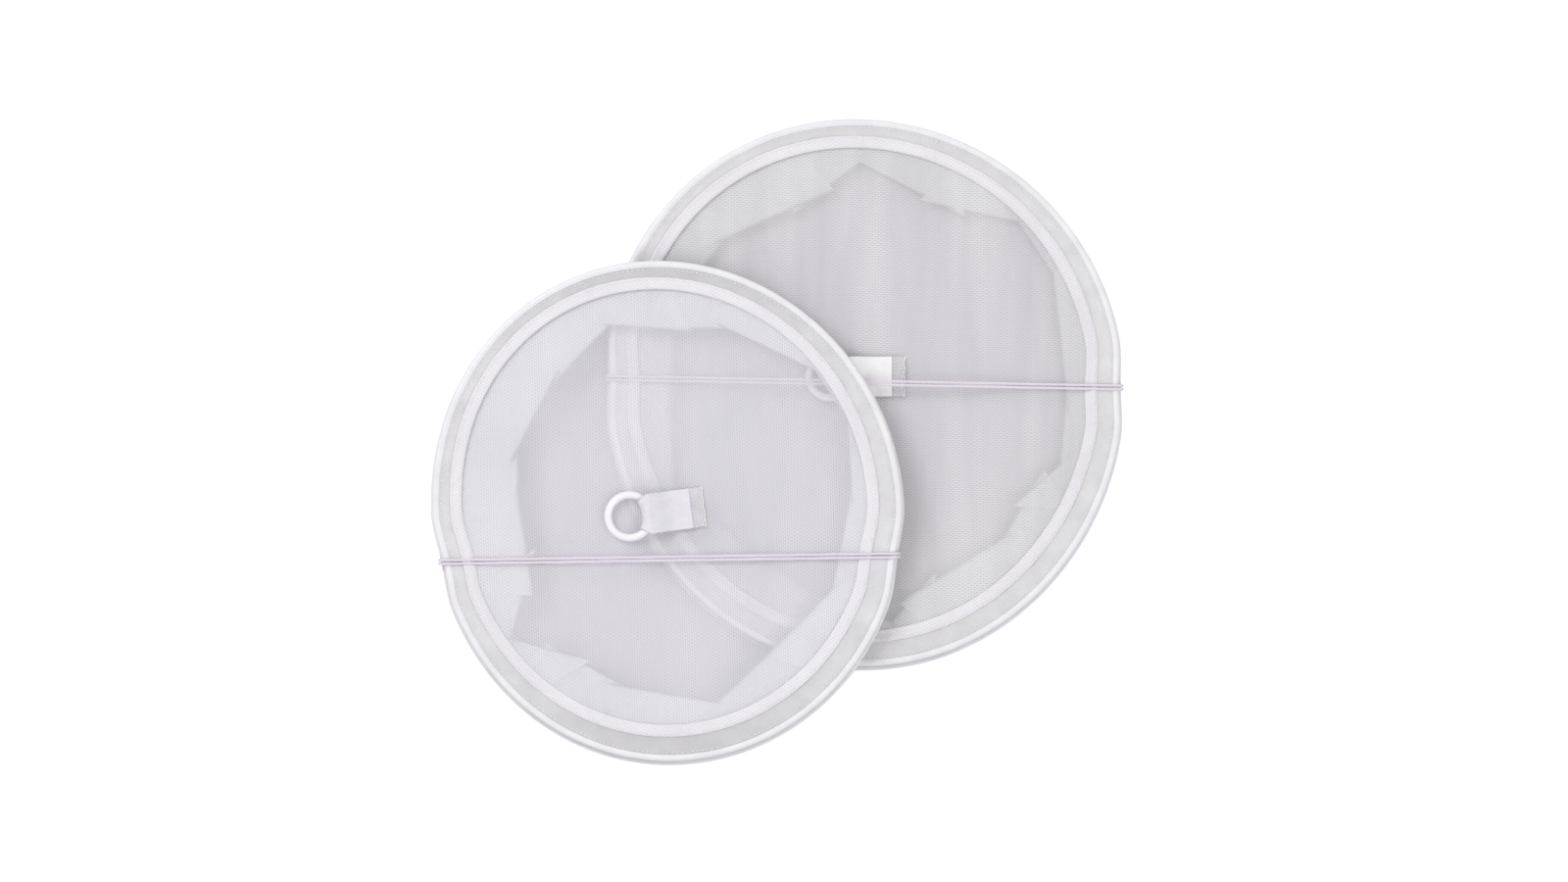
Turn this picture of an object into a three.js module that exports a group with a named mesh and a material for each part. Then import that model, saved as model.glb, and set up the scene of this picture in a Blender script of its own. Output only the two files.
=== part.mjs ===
// A set of two round pop-up mesh food covers, folded flat, the small one lying partly on the large one.
// Each cover has a base hoop and a top hoop (a wire in a folded nylon tape), a mesh top, a mesh side wall
// folded inwards in pleats, a spring wire in the wall, a pull ring on a sewn ribbon, and a doubled elastic
// band that holds the cover flat. Millimetres, +Z up, origin under the middle of the set.
import * as THREE from "three";

const DEGREE = Math.PI / 180;
const TURN = 2 * Math.PI;

// Driving sizes of each cover. Directions are in degrees from +X, and the offsets are shares of the large radius.
const LARGE = {
  name: "large",
  offsetXShare: 0,
  offsetYShare: 0,
  outerRadius: 170,
  oval: 5,
  ovalDirection: 100,
  wave: 1.5,
  waveDirection: 20,
  netSag: 9.6,
  bandRightY: 3.7,
  bandLeftY: 9.9,
  tabMiddleX: 2.5,
  tabMiddleY: 10.5,
  tabDirection: 180,
  foldDirections: [91, 105, 132, 155, 180, 205, 230, 255, 277, 286, 314, 330, 340, 0, 32, 48, 67],
  foldShares: [0.86, 0.74, 0.77, 0.77, 0.72, 0.78, 0.72, 0.76, 0.86, 0.76, 0.75, 0.72, 0.78, 0.755, 0.835, 0.86, 0.755],
};
const SMALL = {
  name: "small",
  offsetXShare: -0.7318,
  offsetYShare: -0.4453,
  outerRadius: 154.5,
  oval: 5.2,
  ovalDirection: 102,
  wave: 0.8,
  waveDirection: 9,
  netSag: 3,
  bandRightY: -27.8,
  bandLeftY: -32.8,
  tabMiddleX: 0,
  tabMiddleY: 0.9,
  tabDirection: 187.5,
  foldDirections: [107, 90, 72, 44, 27, 7, -25, -47, -75, -103, -125, -141, -157, 179, 157, 134],
  foldShares: [0.8, 0.745, 0.79, 0.84, 0.83, 0.76, 0.745, 0.7, 0.8, 0.725, 0.7, 0.82, 0.6, 0.59, 0.655, 0.69],
};

// Sizes that both covers share.
const clearance = 0.3;
const foldedHeight = 13;
const wireRadius = 0.75;
const wireEndGap = 1;
const ferruleBore = 1.1;
const ferruleRadius = 1.35;
const ferruleLength = 26;
const sleeveBore = 1.7;
const beadRadius = 2.2;
const tapeThickness = 0.5;
const tailLength = 15;
const topHoopInset = 1.5;
const topHoopShiftY = 1.5;
const netThickness = 0.6;
const netEdge = 6;
const netHem = 19;
const netPitch = 30;
const netStrand = 2;
const netDirection = 4;
const wallThickness = 0.4;
const wallEdge = 5.5;
const wallBend = 16.5;
const wallFoldWidth = 2;
const springWire = 0.75;
const springTurns = 1.25;
const springStart = 240;
const springEdge = 6;
const springPitch = 2.4;
const springSeat = 2.6;
const bandWidth = 1.6;
const bandThickness = 0.9;
const bandGap = 0.45;
const bandSpread = 1.15;
const bandTwistRise = 1.1;
const bandTwistLength = 56;
const bandTwistPlace = 75;
const bandEndReach = 3.4;
const bandEndPowerShare = 0.77;
const pinchDepth = 2.6;
const pinchHalfWidth = 34;
const pinchReach = 40;
const ribbonWidth = 25.4;
const ribbonThickness = 1;
const ribbonLength = 39.2;
const ribbonTaperStart = 15;
const ribbonTaperEnd = 22;
const ribbonGather = 12;
const footLength = 7.5;
const tabSeat = 0.5;
const ringRadius = 13.5;
const ringSection = 2.5;
const loopWidth = 8.2;
const loopHeight = 7.4;
const loopWall = 0.5;
const loopReach = 1;

// Counts of faces.
const HOOP_STEPS = 44;
const PINCH_CROWDING_SHARE = 0.4;
const WIRE_SIDES = 5;
const SPRING_STEPS = 55;
const TUBE_SIDES = 6;
const GAP_STEPS = 12;
const BAND_END_STEPS = 8;
const BAND_TWIST_STEPS = 8;
const RING_STEPS = 28;
const RING_SIDES = 8;
const LOOP_STEPS = 20;

const finish = (color, roughness, metalness = 0, opacity = 1) =>
  new THREE.MeshStandardMaterial({ color, roughness, metalness, opacity, transparent: opacity < 1 });
const STEEL = finish(0xb9bcc2, 0.35, 1);
const TAPE = finish(0xebe9ee, 0.5);
const MESH = finish(0xdedbe4, 0.8, 0, 0.7);
const RIBBON = finish(0xe4e1e9, 0.55);
const PLASTIC = finish(0xf0eef3, 0.25);
const ELASTIC = finish(0xd4ced9, 0.7);

const beadHeight = beadRadius * Math.cos(Math.PI / TUBE_SIDES);
const pinchLift = bandThickness + bandGap;
const baseSlot = wallThickness / 2 + clearance;
const topSlot = (netThickness + wallThickness + 3 * clearance) / 2;
const netLevel = topSlot - clearance - netThickness / 2;
const wallTopLevel = -topSlot + clearance + wallThickness / 2;

// How near an angle is to a centre: 1 there, falling smoothly to 0 at the half width.
function nearness(angle, centre, halfWidth) {
  const away = Math.abs(Math.atan2(Math.sin(angle - centre), Math.cos(angle - centre)));
  return away < halfWidth ? (1 + Math.cos((Math.PI * away) / halfWidth)) / 2 : 0;
}

// The middle of a cover: the small one lies beside the middle of the large one.
const middleOf = (cover) =>
  new THREE.Vector2(cover.offsetXShare, cover.offsetYShare).multiplyScalar(LARGE.outerRadius);

// One hoop's centre line. lift says which way the band's pinch moves it: up for the base, down for the top.
function hoop(cover, z, lift, inset, shiftY) {
  const radius = cover.outerRadius - beadRadius - inset;
  return {
    centre: middleOf(cover).add(new THREE.Vector2(0, shiftY)),
    z,
    lift,
    pinchHalfAngle: pinchHalfWidth / radius,
    pinches: [cover.bandRightY, cover.bandLeftY].map((y, i) => {
      const right = Math.asin((y - shiftY) / radius);
      return i === 0 ? right : Math.PI - right;
    }),
    radiusAt(angle) {
      const oval = cover.oval * Math.cos(2 * (angle - cover.ovalDirection * DEGREE));
      const wave = cover.wave * Math.cos(3 * (angle - cover.waveDirection * DEGREE));
      return radius + oval + wave - pinchDepth * this.pinchAt(angle);
    },
    pinchAt(angle) {
      return this.pinches.reduce((sum, p) => sum + nearness(angle, p, this.pinchHalfAngle), 0);
    },
  };
}

// A point beside a hoop's centre line: inward by inward, up by up, following the pinch.
function beside(line, angle, inward, up) {
  const radius = line.radiusAt(angle) - inward;
  const share = 1 - Math.min(1, Math.max(0, inward) / pinchReach);
  return new THREE.Vector3(
    line.centre.x + radius * Math.cos(angle),
    line.centre.y + radius * Math.sin(angle),
    line.z + up + line.lift * pinchLift * line.pinchAt(angle) * share,
  );
}

// Angles once round a hoop, closer together where the band pinches it.
function anglesRound(line) {
  const [right, left] = line.pinches;
  const half = HOOP_STEPS / 2;
  const spans = [
    [right, left - right],
    [left, right + TURN - left],
  ];
  return spans.flatMap(([start, span]) =>
    Array.from({ length: half }, (_, i) => {
      const share = i / half;
      return start + span * (share - (PINCH_CROWDING_SHARE * Math.sin(TURN * share)) / TURN);
    }),
  );
}

// A closed surface from points and triangles, turned so that its faces point out.
function solid(points, faces) {
  const volume = faces.reduce((sum, [a, b, c]) => {
    const cross = new THREE.Vector3().crossVectors(points[b], points[c]);
    return sum + points[a].dot(cross);
  }, 0);
  const index = faces.flatMap(([a, b, c]) => (volume < 0 ? [a, c, b] : [a, b, c]));
  const geometry = new THREE.BufferGeometry();
  geometry.setFromPoints(points);
  geometry.setIndex(index);
  geometry.computeVertexNormals();
  return geometry;
}

// Quads between neighbouring loops of points. Without closing, the two end loops get flat caps. Quads from
// turnedFrom on are cut along their other diagonal, so that the two faces of a thin twisted wall stay parallel.
function sweep(loops, closes, turnedFrom = Infinity) {
  const sides = loops[0].length;
  const faces = [];
  const spans = closes ? loops.length : loops.length - 1;
  for (let i = 0; i < spans; i++) {
    const next = (i + 1) % loops.length;
    for (let j = 0; j < sides; j++) {
      const k = (j + 1) % sides;
      const [a, b] = [i * sides + j, i * sides + k];
      const [c, d] = [next * sides + k, next * sides + j];
      if (j < turnedFrom) faces.push([a, b, c], [a, c, d]);
      else faces.push([a, b, d], [b, c, d]);
    }
  }
  if (!closes) {
    const last = (loops.length - 1) * sides;
    for (let j = 1; j < sides - 1; j++) {
      faces.push([0, j + 1, j], [last, last + j, last + j + 1]);
    }
  }
  return solid(loops.flat(), faces);
}

// Corners of a regular section round a hoop's centre line, as inward and up distances.
function sectionCorners(radius, sides, inward = 0, up = 0) {
  return Array.from({ length: sides }, (_, i) => {
    const turn = (TURN * i) / sides;
    return [inward + radius * Math.cos(turn), up + radius * Math.sin(turn)];
  });
}

// The straight run of the hoop, on the far side of the tab, where the wire's two ends meet.
function joinRun(line) {
  const angles = anglesRound(line);
  const first = Math.round(HOOP_STEPS / 4);
  const order = angles.map((_, i) => angles[(first + 1 + i) % HOOP_STEPS]);
  const length = beside(line, order[0], 0, 0).distanceTo(beside(line, order[HOOP_STEPS - 1], 0, 0));
  const at = (u, w, away) =>
    beside(line, order[HOOP_STEPS - 1], u, w).lerp(beside(line, order[0], u, w), 1 / 2 + away / length);
  return { order, at };
}

// The hoop wire, cut where its two ends meet inside the ferrule.
function hoopWire(line) {
  const { order, at } = joinRun(line);
  const corners = sectionCorners(wireRadius, WIRE_SIDES);
  const loops = [
    corners.map(([u, w]) => at(u, w, wireEndGap / 2)),
    ...order.map((angle) => corners.map(([u, w]) => beside(line, angle, u, w))),
    corners.map(([u, w]) => at(u, w, -wireEndGap / 2)),
  ];
  return sweep(loops, false);
}

// The crimped tube over the wire's ends.
function ferrule(line) {
  const { at } = joinRun(line);
  const half = ferruleLength / 2;
  const inside = sectionCorners(ferruleBore, TUBE_SIDES);
  const loops = sectionCorners(ferruleRadius, TUBE_SIDES).map(([u, w], i) => [
    at(u, w, -half),
    at(u, w, half),
    at(...inside[i], half),
    at(...inside[i], -half),
  ]);
  return sweep(loops, true);
}

// The tape folded over the wire: a six-sided bead, and two tails that run inwards with a slot between them.
function sleeve(line, slot) {
  const tail = slot + tapeThickness;
  const bead = sectionCorners(beadRadius, TUBE_SIDES).slice(1);
  const bore = sectionCorners(sleeveBore, TUBE_SIDES).slice(1);
  const lower = [-tail, -slot].map((up) => [tailLength, up]);
  const upper = [slot, tail].map((up) => [tailLength, up]);
  const profile = [...bead, ...lower, ...bore.toReversed(), ...upper];
  return sweep(
    anglesRound(line).map((angle) => profile.map(([u, w]) => beside(line, angle, u, w))),
    true,
  );
}

// Radius of the wall's inner fold: straight runs of cloth between the fold corners.
function foldRadius(cover, angle) {
  const corners = cover.foldDirections
    .map((direction, i) => ({
      turn: (((direction * DEGREE - angle) % TURN) + TURN) % TURN,
      radius: cover.foldShares[i] * cover.outerRadius,
    }))
    .sort((a, b) => a.turn - b.turn);
  const after = corners[0];
  const before = corners[corners.length - 1];
  const back = TURN - before.turn;
  const across = after.radius * before.radius * Math.sin(after.turn + back);
  return across / (after.radius * Math.sin(after.turn) + before.radius * Math.sin(back));
}

// The side wall, folded inwards flat: a lower and an upper layer that meet at the inner fold.
function sideWall(cover, base, top) {
  const half = wallThickness / 2;
  const middleZ = (base.z + top.z + wallTopLevel) / 2;
  const loops = anglesRound(base).map((angle) => {
    const fold = foldRadius(cover, angle);
    const at = (radius) =>
      new THREE.Vector3(
        base.centre.x + radius * Math.cos(angle),
        base.centre.y + radius * Math.sin(angle),
        middleZ,
      );
    return [
      beside(base, angle, wallEdge, -half),
      beside(base, angle, wallBend, -half),
      at(fold),
      beside(top, angle, wallBend, wallTopLevel + half),
      beside(top, angle, wallEdge, wallTopLevel + half),
      beside(top, angle, wallEdge, wallTopLevel - half),
      beside(top, angle, wallBend, wallTopLevel - half),
      at(fold + wallFoldWidth),
      beside(base, angle, wallBend, half),
      beside(base, angle, wallEdge, half),
    ];
  });
  return sweep(loops, true, loops[0].length / 2);
}

// The least gap of a tube to itself, between corner points of loops that lie well apart along it.
function leastGap(loops, closes) {
  let least = Infinity;
  loops.forEach((loop, i) => {
    for (let j = i + GAP_STEPS; j < loops.length; j++) {
      if (closes && i + loops.length - j < GAP_STEPS) continue;
      for (const p of loop) least = Math.min(least, ...loops[j].map((q) => p.distanceTo(q)));
    }
  });
  return least;
}

// The wall's spring wire, one and a quarter turns inside the hoops, rising from the base hoop to the top hoop.
function wallSpring(cover, base, top) {
  const corners = sectionCorners(springWire, WIRE_SIDES);
  const loops = Array.from({ length: SPRING_STEPS + 1 }, (_, i) => {
    const share = i / SPRING_STEPS;
    const angle = springStart * DEGREE + springTurns * share * TURN;
    const inward = springEdge + springPitch * springTurns * share;
    return corners.map(([u, w]) =>
      beside(base, angle, inward + u, springSeat + w).lerp(beside(top, angle, inward + u, w - springSeat), share),
    );
  });
  console.log(`${cover.name}_wall_spring: least gap to itself ${leastGap(loops, false).toFixed(2)} mm`);
  return sweep(loops, false);
}

// How far the mesh top hangs below its hoop.
function sagAt(cover, top, x, y) {
  const reach = cover.outerRadius - tailLength;
  const share = Math.min(1, Math.hypot(x - top.centre.x, y - top.centre.y) / reach);
  return cover.netSag * (1 - share ** 2) ** 2;
}

// Height of the mesh top's upper face.
const netTopAt = (cover, top, x, y) => top.z + netLevel + netThickness / 2 - sagAt(cover, top, x, y);

// One square gap of the net, cut to what lies inside the hem.
function clipToHem(cell, hem) {
  let kept = cell;
  hem.forEach((a, i) => {
    const b = hem[(i + 1) % hem.length];
    const side = (p) => (b.x - a.x) * (p.y - a.y) - (b.y - a.y) * (p.x - a.x);
    kept = kept.flatMap((p, j) => {
      const q = kept[(j + 1) % kept.length];
      const [sp, sq] = [side(p), side(q)];
      const cut = p.clone().lerp(q, sp / (sp - sq));
      if (sp >= 0) return sq >= 0 ? [p] : [p, cut];
      return sq >= 0 ? [cut] : [];
    });
  });
  return kept.filter((p, i) => p.distanceTo(kept[(i + 1) % kept.length]) > clearance);
}

// The net's square gaps, each cut to what lies inside the hem.
function netGaps(cover, top, hem) {
  const inside = hem.map((p) => p.clone().sub(top.centre));
  const edge = inside.map((p) => p.clone().setLength(p.length() - netStrand));
  const reach = Math.ceil(cover.outerRadius / netPitch);
  const half = (netPitch - netStrand) / 2;
  const square = [
    [-half, -half],
    [half, -half],
    [half, half],
    [-half, half],
  ];
  const gaps = [];
  for (let i = -reach; i <= reach; i++) {
    for (let j = -reach; j <= reach; j++) {
      const cell = square.map(([x, y]) =>
        new THREE.Vector2(i * netPitch + x, j * netPitch + y).rotateAround(new THREE.Vector2(), netDirection * DEGREE),
      );
      const gap = clipToHem(cell, edge);
      if (gap.length > 2 && THREE.ShapeUtils.area(gap) > (half * half) / 2) {
        gaps.push(gap.map((p) => p.add(top.centre)));
      }
    }
  }
  return gaps;
}

// The mesh top: a coarse square net in a plain hem, hanging in a shallow bowl.
function net(cover, top) {
  const angles = anglesRound(top);
  const contour = angles.map((angle) => {
    const p = beside(top, angle, netHem, 0);
    return new THREE.Vector2(p.x, p.y);
  });
  const gaps = netGaps(cover, top, contour);
  const lowest = netLevel - netThickness / 2;
  const raise = (p, up) => {
    const away = p.clone().sub(top.centre);
    const angle = away.angle();
    const level = beside(top, angle, top.radiusAt(angle) - away.length(), lowest + up);
    return new THREE.Vector3(p.x, p.y, level.z - sagAt(cover, top, p.x, p.y));
  };
  const flat = [...contour, ...gaps.flat()];
  const rim = (up) => angles.map((angle) => beside(top, angle, netEdge, lowest + up));
  const layer = (up) => [...flat.map((p) => raise(p, up)), ...rim(up)];
  const points = [...layer(0), ...layer(netThickness)];
  const above = points.length / 2;
  const faces = [];
  // Both faces of the lattice share one triangulation.
  for (const [a, b, c] of THREE.ShapeUtils.triangulateShape(contour, gaps)) {
    faces.push([a, c, b], [above + a, above + b, above + c]);
  }
  const wall = (a, b) => faces.push([a, b, above + b], [a, above + b, above + a]);
  let first = contour.length;
  for (const gap of gaps) {
    gap.forEach((_, i) => wall(first + ((i + 1) % gap.length), first + i));
    first += gap.length;
  }
  contour.forEach((_, i) => {
    const j = (i + 1) % contour.length;
    const [outer, outerNext] = [first + i, first + j];
    faces.push([i, outerNext, outer], [i, j, outerNext]);
    faces.push([above + i, above + outer, above + outerNext], [above + i, above + outerNext, above + j]);
    wall(outer, outerNext);
  });
  return solid(points, faces);
}

// The tab's own frame: along points from the stitched end to the ring, across lies over the ribbon's width.
function tabFrame(cover, top) {
  const direction = cover.tabDirection * DEGREE;
  const along = new THREE.Vector3(Math.cos(direction), Math.sin(direction), 0);
  const across = new THREE.Vector3(-Math.sin(direction), Math.cos(direction), 0);
  const half = (ribbonLength + footLength) / 2;
  const middle = middleOf(cover);
  const start = new THREE.Vector3(middle.x + cover.tabMiddleX, middle.y + cover.tabMiddleY, 0);
  start.addScaledVector(along, footLength - half);
  const foot = start.clone().addScaledVector(along, -footLength);
  const corners = [-1, 1].map((side) => foot.clone().addScaledVector(across, (side * ribbonWidth) / 2));
  const seat = Math.max(...corners.map((p) => netTopAt(cover, top, p.x, p.y)));
  start.z = seat + tabSeat;
  return { start, along, across };
}

// Places a profile drawn as distance along and height, extruded over the ribbon's width.
function ribbonSolid(shape, frame, widthAt) {
  const geometry = new THREE.ExtrudeGeometry(shape, { depth: ribbonWidth, bevelEnabled: false });
  const position = geometry.getAttribute("position");
  for (let i = 0; i < position.count; i++) {
    const [along, up] = [position.getX(i), position.getY(i)];
    const across = (position.getZ(i) / ribbonWidth - 1 / 2) * widthAt(along);
    const p = frame.start
      .clone()
      .addScaledVector(frame.along, along)
      .addScaledVector(frame.across, across);
    position.setXYZ(i, p.x, p.y, p.z + up);
  }
  // The places along, up and across aren't a right-handed set, so each triangle is turned round.
  const order = Array.from({ length: position.count }, (_, i) => i);
  for (let i = 0; i < order.length; i += 3) [order[i + 1], order[i + 2]] = [order[i + 2], order[i + 1]];
  geometry.setIndex(order);
  geometry.computeVertexNormals();
  return geometry;
}

// The ribbon's end that is sewn down to the mesh top.
function tabFoot(frame) {
  const shape = new THREE.Shape([
    new THREE.Vector2(-footLength, 0),
    new THREE.Vector2(-clearance, 0),
    new THREE.Vector2(-clearance, ribbonThickness),
    new THREE.Vector2(-footLength, ribbonThickness),
  ]);
  return ribbonSolid(shape, frame, () => ribbonWidth);
}

// Centre of the ribbon's loop, as distance along and height over the ribbon's lower face.
function loopCentre() {
  return { along: ribbonLength - ringRadius + loopReach, up: loopHeight / 2 + loopWall };
}

// The doubled ribbon, drawn in to pass through the ring and sewn back on itself in a loop.
function tabRibbon(frame) {
  const centre = loopCentre();
  const outerX = loopWidth / 2 + loopWall;
  const outerZ = loopHeight / 2 + loopWall;
  const meet = Math.PI + Math.asin((centre.up - ribbonThickness) / outerZ);
  const shape = new THREE.Shape();
  shape.moveTo(0, 0);
  shape.lineTo(ribbonTaperStart, 0);
  shape.lineTo(ribbonTaperEnd, 0);
  for (let i = 0; i <= LOOP_STEPS; i++) {
    const turn = -Math.PI / 2 + ((meet + Math.PI / 2) * i) / LOOP_STEPS;
    shape.lineTo(centre.along + outerX * Math.cos(turn), centre.up + outerZ * Math.sin(turn));
  }
  shape.lineTo(ribbonTaperEnd, ribbonThickness);
  shape.lineTo(ribbonTaperStart, ribbonThickness);
  shape.lineTo(0, ribbonThickness);
  const hole = new THREE.Path();
  hole.absellipse(centre.along, centre.up, loopWidth / 2, loopHeight / 2, 0, TURN, true);
  shape.holes.push(new THREE.Path(hole.getPoints(LOOP_STEPS).slice(0, -1)));
  const widthAt = (along) => {
    const share = (along - ribbonTaperStart) / (ribbonTaperEnd - ribbonTaperStart);
    return THREE.MathUtils.lerp(ribbonWidth, ribbonGather, Math.min(1, Math.max(0, share)));
  };
  return ribbonSolid(shape, frame, widthAt);
}

// The moulded pull ring, lying flat with one side in the ribbon's loop.
function pullRing(frame) {
  const centre = frame.start.clone().addScaledVector(frame.along, ribbonLength);
  centre.z += loopWall + clearance + ringSection;
  const loops = Array.from({ length: RING_STEPS }, (_, i) => {
    const turn = (TURN * i) / RING_STEPS;
    const out = frame.along
      .clone()
      .multiplyScalar(Math.cos(turn))
      .addScaledVector(frame.across, Math.sin(turn));
    return Array.from({ length: RING_SIDES }, (_, j) => {
      const roll = (TURN * (j + 1 / 2)) / RING_SIDES;
      const p = centre.clone().addScaledVector(out, ringRadius + ringSection * Math.cos(roll));
      p.z += ringSection * Math.sin(roll);
      return p;
    });
  });
  return sweep(loops, true);
}

// One lap of the band's middle line in its own upright plane: reach along the line and height, with the
// share of the twist done at each point.
function bandLap(length) {
  const low = bandThickness / 2;
  const high = foldedHeight - bandThickness / 2;
  const middle = (low + high) / 2;
  const lap = [];
  const end = (x, side) => {
    for (let i = 0; i <= BAND_END_STEPS; i++) {
      const turn = side * (Math.PI / 2 - (Math.PI * i) / BAND_END_STEPS);
      const out = Math.abs(Math.cos(turn)) ** bandEndPowerShare * bandEndReach;
      const rise = Math.sign(Math.sin(turn)) * Math.abs(Math.sin(turn)) ** bandEndPowerShare * (middle - low);
      lap.push({ along: x + side * out, up: middle + rise, share: side > 0 ? 0 : 1 });
    }
  };
  end(length / 2, 1);
  for (let i = 0; i <= BAND_TWIST_STEPS; i++) {
    const share = i / BAND_TWIST_STEPS;
    const rise = bandTwistRise * Math.sin(Math.PI * share);
    lap.push({ along: bandTwistPlace + bandTwistLength * (1 / 2 - share), up: low + rise, share });
  }
  end(-length / 2, -1);
  return lap;
}

// The elastic band: one closed strand taken twice round the folded cover, its two laps side by side.
function elasticBand(cover, base) {
  const [right, left] = base.pinches.map((angle) => beside(base, angle, 0, 0));
  const along = right.clone().sub(left).setZ(0);
  const length = along.length();
  along.normalize();
  const across = new THREE.Vector3(-along.y, along.x, 0);
  const middle = right.clone().add(left).multiplyScalar(1 / 2).setZ(0);
  const path = [0, 1].flatMap((lapNumber) =>
    bandLap(length).map(({ along: reach, up, share }) => {
      const twist = Math.PI * (lapNumber + share);
      const p = middle.clone().addScaledVector(along, reach).addScaledVector(across, bandSpread * Math.cos(twist));
      p.z = up + bandTwistRise * Math.sin(twist) * Math.sin(Math.PI * share);
      return p;
    }),
  );
  const loops = path.map((p, i) => {
    const before = path[(i + path.length - 1) % path.length];
    const after = path[(i + 1) % path.length];
    const forward = after.clone().sub(before).normalize();
    const up = new THREE.Vector3().crossVectors(forward, across).normalize();
    return [
      [bandWidth / 2, 0],
      [bandWidth / 4, bandThickness / 2],
      [-bandWidth / 4, bandThickness / 2],
      [-bandWidth / 2, 0],
      [-bandWidth / 4, -bandThickness / 2],
      [bandWidth / 4, -bandThickness / 2],
    ].map(([w, t]) => p.clone().addScaledVector(across, w).addScaledVector(up, t));
  });
  console.log(`${cover.name}_elastic_band: least gap to itself ${leastGap(loops, true).toFixed(2)} mm`);
  return sweep(loops, true);
}

// All the pieces of one cover, standing on z.
function makeCover(cover, z) {
  const base = hoop(cover, z + beadHeight, 1, 0, 0);
  const top = hoop(cover, z + foldedHeight - beadHeight, -1, topHoopInset, topHoopShiftY);
  const tab = tabFrame(cover, top);
  const group = new THREE.Group();
  const add = (name, geometry, material) => {
    const mesh = new THREE.Mesh(geometry, material);
    mesh.name = `${cover.name}_${name}`;
    group.add(mesh);
  };
  add("base_wire", hoopWire(base), STEEL);
  add("base_ferrule", ferrule(base), STEEL);
  add("base_sleeve", sleeve(base, baseSlot), TAPE);
  add("side_wall", sideWall(cover, base, top), MESH);
  add("wall_spring", wallSpring(cover, base, top), STEEL);
  add("top_wire", hoopWire(top), STEEL);
  add("top_ferrule", ferrule(top), STEEL);
  add("top_sleeve", sleeve(top, topSlot), TAPE);
  add("top_net", net(cover, top), MESH);
  add("tab_foot", tabFoot(tab), RIBBON);
  add("tab_ribbon", tabRibbon(tab), RIBBON);
  add("pull_ring", pullRing(tab), PLASTIC);
  const band = elasticBand(cover, base);
  band.translate(0, 0, z);
  add("elastic_band", band, ELASTIC);
  return group;
}

const set = new THREE.Group();
set.add(makeCover(LARGE, 0));
set.add(makeCover(SMALL, foldedHeight + clearance));

// The origin is put under the middle of the set's footprint.
const footprint = new THREE.Box3().setFromObject(set, true);
const centre = footprint.getCenter(new THREE.Vector3());
set.position.set(-centre.x, -centre.y, 0);

const model = new THREE.Group();
model.add(set);
export default model;
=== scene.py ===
"""A set of two pop-up mesh food covers, folded flat, the small one lying partly on the large one.

Everything is in metres in the part's own frame: +X to the right of the photograph, +Y to its top, +Z up.
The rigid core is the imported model; this script makes the visible cloth, bands, tabs and finishes round it.
"""
import math
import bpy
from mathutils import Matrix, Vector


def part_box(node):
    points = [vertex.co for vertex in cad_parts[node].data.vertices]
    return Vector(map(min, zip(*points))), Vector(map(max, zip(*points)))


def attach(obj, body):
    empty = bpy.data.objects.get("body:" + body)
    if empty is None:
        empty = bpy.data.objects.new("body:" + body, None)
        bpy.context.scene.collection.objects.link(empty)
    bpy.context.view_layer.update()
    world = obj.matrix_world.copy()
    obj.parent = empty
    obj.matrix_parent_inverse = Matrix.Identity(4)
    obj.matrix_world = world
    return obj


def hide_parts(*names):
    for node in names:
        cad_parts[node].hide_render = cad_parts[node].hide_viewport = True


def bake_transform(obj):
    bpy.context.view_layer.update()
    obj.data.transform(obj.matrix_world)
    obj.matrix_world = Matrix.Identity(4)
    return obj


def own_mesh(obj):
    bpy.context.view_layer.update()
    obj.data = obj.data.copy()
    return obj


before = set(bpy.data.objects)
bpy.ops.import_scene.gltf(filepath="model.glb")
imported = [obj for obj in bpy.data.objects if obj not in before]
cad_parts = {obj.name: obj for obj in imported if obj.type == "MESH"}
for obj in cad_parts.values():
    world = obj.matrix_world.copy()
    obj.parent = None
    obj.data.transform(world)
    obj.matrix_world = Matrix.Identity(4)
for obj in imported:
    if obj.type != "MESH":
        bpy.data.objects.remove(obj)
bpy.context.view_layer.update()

from types import SimpleNamespace

import bmesh
import bpy
import numpy as np
from mathutils import Vector

TURN = 2 * math.pi
UPWARD = np.array([0, 0, 1])

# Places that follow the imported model.
LARGE_CENTRE = (0.054135, 0.031030)
SMALL_OFFSET = (-0.1244, -0.0757)
FOLDED_HEIGHT = 0.013
CLEARANCE = 0.0003

# Sizes of the hoops and their tape.
BEAD_RADIUS = 0.0022
BEAD_HEIGHT = BEAD_RADIUS * math.cos(math.radians(30))
TAPE_THICKNESS = 0.0005
TAIL_LENGTH = 0.015
STRIP_MIDDLE = 0.0085
SLEEVE_BORE = 0.0017
TOP_INSET = 0.0015
TOP_SHIFT_Y = 0.0015
NET_THICKNESS = 0.0006
WALL_THICKNESS = 0.0004
BASE_SLOT = WALL_THICKNESS / 2 + CLEARANCE
TOP_SLOT = (NET_THICKNESS + WALL_THICKNESS + 3 * CLEARANCE) / 2
NET_LEVEL = TOP_SLOT - CLEARANCE - NET_THICKNESS / 2
WALL_TOP_LEVEL = -TOP_SLOT + CLEARANCE + WALL_THICKNESS / 2

# Sizes of the band and of how it pinches the hoops.
BAND_WIDTH = 0.0016
BAND_THICKNESS = 0.0009
BAND_GAP = 0.00045
BAND_SPREAD = 0.00115
BAND_TWIST_RISE = 0.0011
BAND_TWIST_LENGTH = 0.056
BAND_TWIST_PLACE = 0.075
BAND_END_REACH = 0.0034
PINCH_DEPTH = 0.0026
PINCH_HALF_WIDTH = 0.034
PINCH_REACH = 0.040
PINCH_LIFT = BAND_THICKNESS + BAND_GAP

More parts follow.
